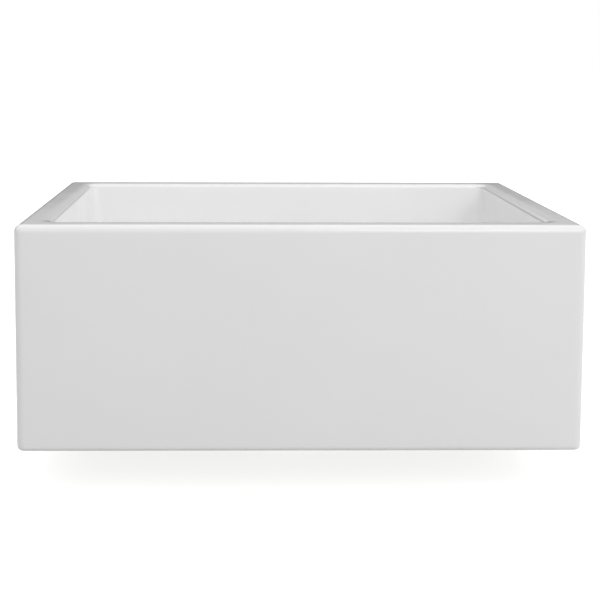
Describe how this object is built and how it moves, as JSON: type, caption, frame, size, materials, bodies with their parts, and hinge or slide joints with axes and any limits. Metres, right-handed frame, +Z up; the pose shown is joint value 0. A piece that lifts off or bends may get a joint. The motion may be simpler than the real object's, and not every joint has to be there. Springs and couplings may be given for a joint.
{
  "type": "farmhouse apron front sink",
  "caption": "Rectangular single-bowl farmhouse sink with a deep plain apron, rounded rim, sloping floor and a lift-out basket strainer waste.",
  "frame": {"origin": "middle of the underside, in the plane of the foot that rests on the cabinet's rails, on the drain's axis", "axes": "+X to the right seen from the front, +Y to the back (the apron faces -Y), +Z up"},
  "size_m": [0.606, 0.457, 0.2938],
  "materials": {
    "glaze": "white gloss glaze over fireclay, matt and unglazed under the foot",
    "stainless": "satin stainless steel",
    "chrome": "bright plated",
    "zinc": "dull die-cast zinc alloy",
    "black_rubber": "matt moulded rubber",
    "fibre": "pressed fibre board",
    "nylon": "natural nylon"
  },
  "bodies": {
    "sink": {"sink_body": "glaze", "flange_gasket": "black_rubber", "strainer_body": "stainless", "rubber_washer": "black_rubber", "friction_washer": "fibre", "lock_nut": "zinc", "outlet_spud": "chrome", "tailpiece_washer": "nylon", "coupling_nut": "chrome"},
    "stopper_post": {"basket_post": "stainless", "basket_knob": "chrome", "basket_washer": "stainless", "basket_nut": "stainless", "stopper_plate_upper": "stainless", "stopper_seal": "black_rubber", "stopper_plate_lower": "stainless", "post_clip": "nylon"},
    "basket_cup": {"basket_cup": "stainless"}
  },
  "joints": [
    {"name": "basket_lift", "type": "slide", "parent": "sink", "child": "stopper_post", "axis": [0, 0, 1], "range_m": [0, 0.3]},
    {"name": "basket_turn", "type": "hinge", "parent": "stopper_post", "child": "basket_cup", "pos_m": [0, 0, 0], "axis": [0, 0, 1], "continuous": true}
  ]
}
